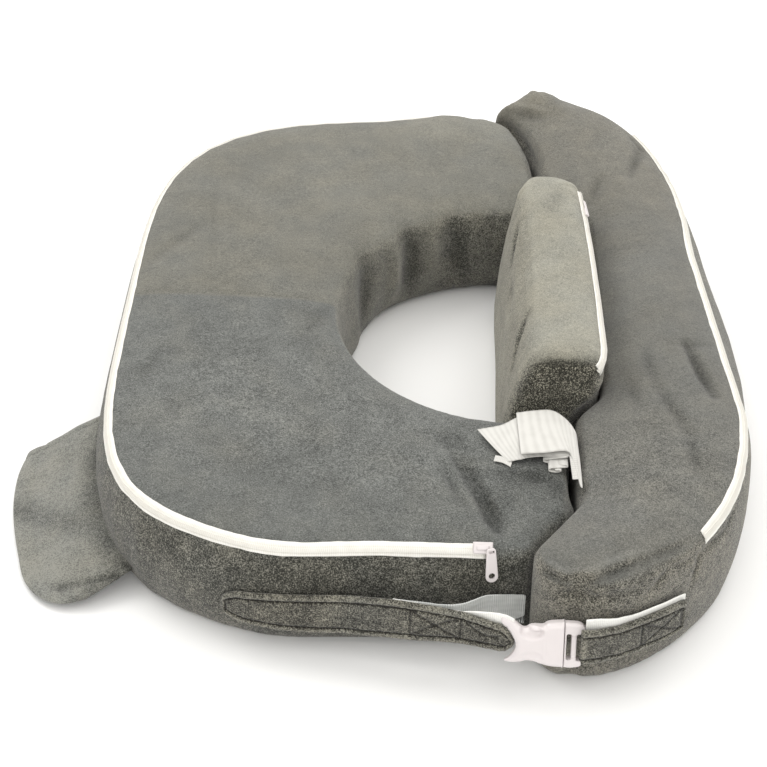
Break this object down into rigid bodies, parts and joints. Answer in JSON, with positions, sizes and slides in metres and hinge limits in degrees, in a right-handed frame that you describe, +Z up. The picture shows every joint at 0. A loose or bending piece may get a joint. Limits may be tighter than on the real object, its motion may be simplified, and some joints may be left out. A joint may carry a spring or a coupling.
{
  "type": "twin nursing pillow",
  "caption": "Wrap-around feeding pillow for twins: a U-shaped plush cushion closed by a back cushion, with a lumbar cushion, zips, waist strap and buckle.",
  "frame": {"origin": "middle of the pillow's footprint, on the surface that it lies on", "axes": "+X from the front cushion's side to the back cushion's side, +Y from the buckle's end to the far end, +Z up"},
  "size_m": [0.6714, 0.8108, 0.167],
  "materials": {
    "front_plush": "short grey plush",
    "back_plush": "short grey plush",
    "lumbar_plush": "short grey plush with its nap towards the light",
    "zip_tape": "off-white woven zip tape with a coil",
    "webbing": "white woven webbing",
    "elastic": "pale ribbed elastic",
    "buckle_plastic": "white moulded plastic",
    "label_satin": "white satin, blank"
  },
  "bodies": {
    "root": {"front_cushion": "front_plush", "back_cushion": "back_plush", "lumbar_cushion": "lumbar_plush", "front_zip": "zip_tape", "front_zip_slider": "buckle_plastic", "front_zip_puller": "buckle_plastic", "back_zip": "zip_tape", "lumbar_zip": "zip_tape", "lumbar_zip_slider": "buckle_plastic", "side_pocket": "front_plush", "front_strap": "front_plush", "front_strap_webbing": "webbing", "elastic_webbing": "elastic", "back_strap": "back_plush", "back_strap_webbing": "webbing", "buckle_socket": "buckle_plastic", "buckle_plug": "buckle_plastic", "care_label": "label_satin"}
  },
  "joints": []
}
